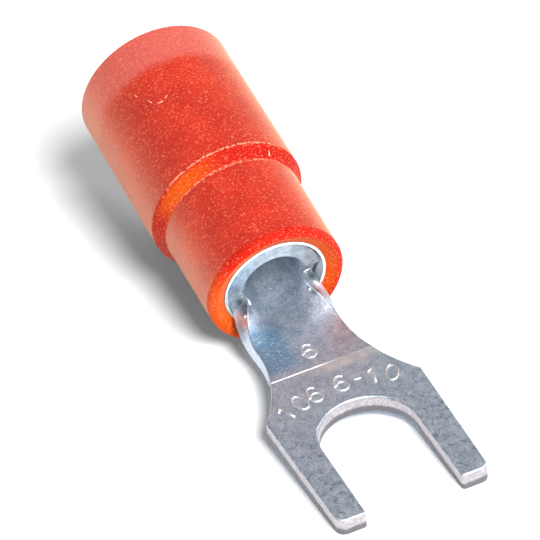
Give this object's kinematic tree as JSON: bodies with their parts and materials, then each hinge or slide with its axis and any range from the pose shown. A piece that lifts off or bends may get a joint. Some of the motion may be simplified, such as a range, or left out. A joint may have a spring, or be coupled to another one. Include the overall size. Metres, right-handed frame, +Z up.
{
  "type": "fork terminal",
  "caption": "Insulated crimp fork terminal: a stamped metal fork with a rolled barrel, a thin grip sleeve and a stepped red nylon insulator.",
  "frame": {"origin": "on the table under the middle of the part's box, as the part lies at rest", "axes": "+X from the wire end towards the fork's tips, +Y across the fork, +Z up; the barrel's axis dips towards the fork by 13.97 degrees in the XZ plane"},
  "size_m": [0.0432, 0.0114, 0.0154],
  "materials": {
    "tinned_copper": "satin",
    "tinned_brass": "satin",
    "red_nylon": "matte"
  },
  "bodies": {
    "root": {"terminal": "tinned_copper", "grip_sleeve": "tinned_brass", "insulator": "red_nylon"}
  },
  "joints": []
}
